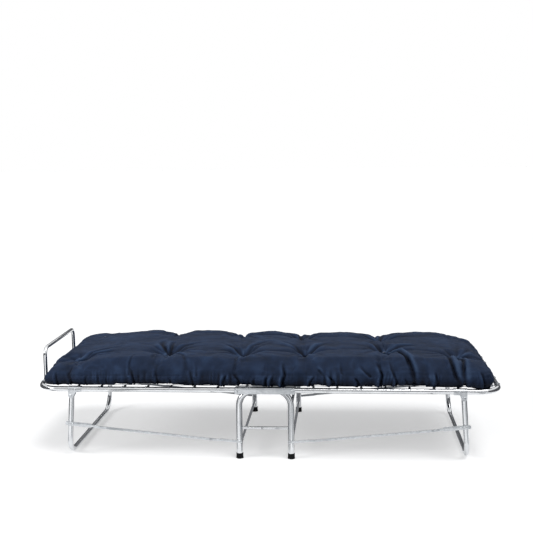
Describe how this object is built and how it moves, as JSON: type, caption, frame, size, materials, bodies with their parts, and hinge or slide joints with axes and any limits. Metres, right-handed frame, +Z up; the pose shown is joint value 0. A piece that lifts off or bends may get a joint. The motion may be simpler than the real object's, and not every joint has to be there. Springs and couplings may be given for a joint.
{
  "type": "folding cot",
  "caption": "Folding guest bed: chromed tube frame with a spring mesh, a tufted dark blue mattress, a head hoop and end legs that fold as the bed closes.",
  "frame": {"origin": "on the floor under the middle of the bed", "axes": "+X along the bed from the head hoop towards the foot end, +Y from the near side rail to the far one, +Z up"},
  "size_m": [1.9, 0.7232, 0.4315],
  "materials": {
    "chromed_tube": "polished",
    "zinc_plated_steel": "satin",
    "spring_wire": "satin",
    "rubber": "matte",
    "navy_fabric": "matte"
  },
  "bodies": {
    "base": {"arch_near": "chromed_tube", "side_bar_near": "chromed_tube", "side_plate_near_outer": "zinc_plated_steel", "side_plate_near_inner": "zinc_plated_steel", "arch_far": "chromed_tube", "side_bar_far": "chromed_tube", "side_plate_far_outer": "zinc_plated_steel", "side_plate_far_inner": "zinc_plated_steel", "crossbar_head_upper": "chromed_tube", "crossbar_head_lower": "chromed_tube", "rubber_foot_head_near": "rubber", "pivot_bolt_head_near": "zinc_plated_steel", "strap_rivet_head_near": "zinc_plated_steel", "rubber_foot_head_far": "rubber", "pivot_bolt_head_far": "zinc_plated_steel", "strap_rivet_head_far": "zinc_plated_steel", "crossbar_foot_upper": "chromed_tube", "crossbar_foot_lower": "chromed_tube", "rubber_foot_foot_near": "rubber", "pivot_bolt_foot_near": "zinc_plated_steel", "strap_rivet_foot_near": "zinc_plated_steel", "rubber_foot_foot_far": "rubber", "pivot_bolt_foot_far": "zinc_plated_steel", "strap_rivet_foot_far": "zinc_plated_steel", "mesh_middle": "spring_wire", "mattress_middle": "navy_fabric"},
    "head_frame": {"head_frame_tube_near": "chromed_tube", "head_leg_bracket_near": "zinc_plated_steel", "head_leg_pin_near": "zinc_plated_steel", "head_frame_tube_far": "chromed_tube", "head_leg_bracket_far": "zinc_plated_steel", "head_leg_pin_far": "zinc_plated_steel", "mesh_head": "spring_wire", "mattress_head": "navy_fabric", "head_hoop": "chromed_tube"},
    "foot_frame": {"foot_frame_tube_near": "chromed_tube", "foot_leg_bracket_near": "zinc_plated_steel", "foot_leg_pin_near": "zinc_plated_steel", "foot_frame_tube_far": "chromed_tube", "foot_leg_bracket_far": "zinc_plated_steel", "foot_leg_pin_far": "zinc_plated_steel", "mesh_foot": "spring_wire", "mattress_foot": "navy_fabric"},
    "head_leg": {"head_leg_tube": "chromed_tube", "link_rivet_head_near": "zinc_plated_steel", "link_rivet_head_far": "zinc_plated_steel"},
    "foot_leg": {"foot_leg_tube": "chromed_tube", "link_rivet_foot_near": "zinc_plated_steel", "link_rivet_foot_far": "zinc_plated_steel"},
    "head_stays": {"stay_strap_head_near": "zinc_plated_steel", "stay_strap_head_far": "zinc_plated_steel"},
    "foot_stays": {"stay_strap_foot_near": "zinc_plated_steel", "stay_strap_foot_far": "zinc_plated_steel"},
    "head_links": {"slotted_link_head_near": "zinc_plated_steel", "slotted_link_head_far": "zinc_plated_steel"},
    "foot_links": {"slotted_link_foot_near": "zinc_plated_steel", "slotted_link_foot_far": "zinc_plated_steel"}
  },
  "joints": [
    {"name": "head_fold", "type": "hinge", "parent": "base", "child": "head_frame", "pos_m": [-0.1135, 0, 0.2825], "axis": [0, 1, 0], "range_deg": [0, 91.5], "deforming": ["mattress_middle"]},
    {"name": "head_leg_fold", "type": "hinge", "parent": "head_frame", "child": "head_leg", "pos_m": [-0.794, 0, 0.258], "axis": [0, -1, 0], "range_deg": [-0.02, 94.02]},
    {"name": "head_stay_swing", "type": "hinge", "parent": "base", "child": "head_stays", "pos_m": [-0.1, 0, 0.071], "axis": [0, 1, 0], "range_deg": [-0.02, 82.69]},
    {"name": "head_link_swing", "type": "hinge", "parent": "head_leg", "child": "head_links", "pos_m": [-0.80225, 0, 0.13999], "axis": [0, 1, 0], "range_deg": [-0.02, 85.19]},
    {"name": "foot_fold", "type": "hinge", "parent": "base", "child": "foot_frame", "pos_m": [0.1135, 0, 0.2825], "axis": [0, -1, 0], "range_deg": [0, 91.5], "deforming": ["mattress_middle"]},
    {"name": "foot_leg_fold", "type": "hinge", "parent": "foot_frame", "child": "foot_leg", "pos_m": [0.794, 0, 0.258], "axis": [0, 1, 0], "range_deg": [-0.02, 94.02]},
    {"name": "foot_stay_swing", "type": "hinge", "parent": "base", "child": "foot_stays", "pos_m": [0.1, 0, 0.071], "axis": [0, -1, 0], "range_deg": [-0.02, 82.69]},
    {"name": "foot_link_swing", "type": "hinge", "parent": "foot_leg", "child": "foot_links", "pos_m": [0.80225, 0, 0.13999], "axis": [0, -1, 0], "range_deg": [-0.02, 85.19]}
  ],
  "couplings": [
    {"joint": "head_leg_fold", "follows": "head_fold", "ratio": 1.0273},
    {"joint": "head_stay_swing", "follows": "head_fold", "ratio": 0.90347},
    {"joint": "head_link_swing", "follows": "head_fold", "ratio": 0.93079},
    {"joint": "foot_leg_fold", "follows": "foot_fold", "ratio": 1.0273},
    {"joint": "foot_stay_swing", "follows": "foot_fold", "ratio": 0.90347},
    {"joint": "foot_link_swing", "follows": "foot_fold", "ratio": 0.93079}
  ]
}
